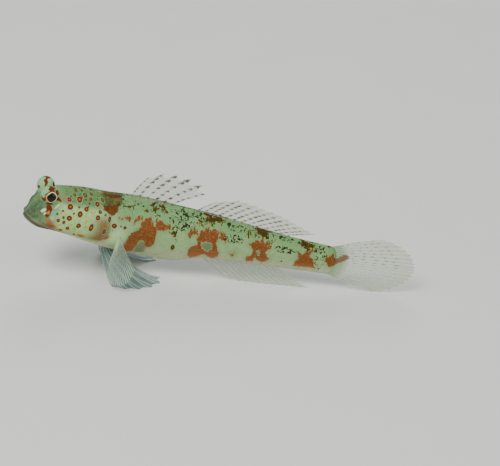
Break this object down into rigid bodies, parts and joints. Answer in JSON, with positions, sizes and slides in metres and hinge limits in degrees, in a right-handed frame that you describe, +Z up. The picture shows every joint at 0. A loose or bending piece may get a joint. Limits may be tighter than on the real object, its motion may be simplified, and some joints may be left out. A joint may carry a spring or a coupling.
{
  "type": "broad-banded shrimp goby",
  "caption": "Still life-size model of a small slender bottom fish, resting on its fan-shaped pelvic fins and on the edges of its anal and tail fins, head turned to one side.",
  "frame": {"origin": "middle of the whole model's box, on the floor that it rests on", "axes": "-X towards the snout, the fish's left side faces -Y, +Z up"},
  "size_m": [0.0942, 0.0242, 0.0271],
  "materials": {
    "skin": "satin, pale mint-cream with orange-brown bands and ringed orange spots",
    "eye": "wet gloss over a pale patterned iris with a gold ring",
    "clear_fin": "thin translucent membrane with fine rays and dark dashes",
    "paired_fin": "thin blue-grey translucent membrane with pale rays"
  },
  "bodies": {
    "root": {"head": "skin", "trunk": "skin", "tail": "skin", "eye_left": "eye", "eye_right": "eye", "dorsal_fin_front": "clear_fin", "dorsal_fin_rear": "clear_fin", "anal_fin": "clear_fin", "tail_fin": "clear_fin", "pectoral_fin_left": "paired_fin", "pectoral_fin_right": "paired_fin", "pelvic_fin_left": "paired_fin", "pelvic_fin_right": "paired_fin"}
  },
  "joints": []
}
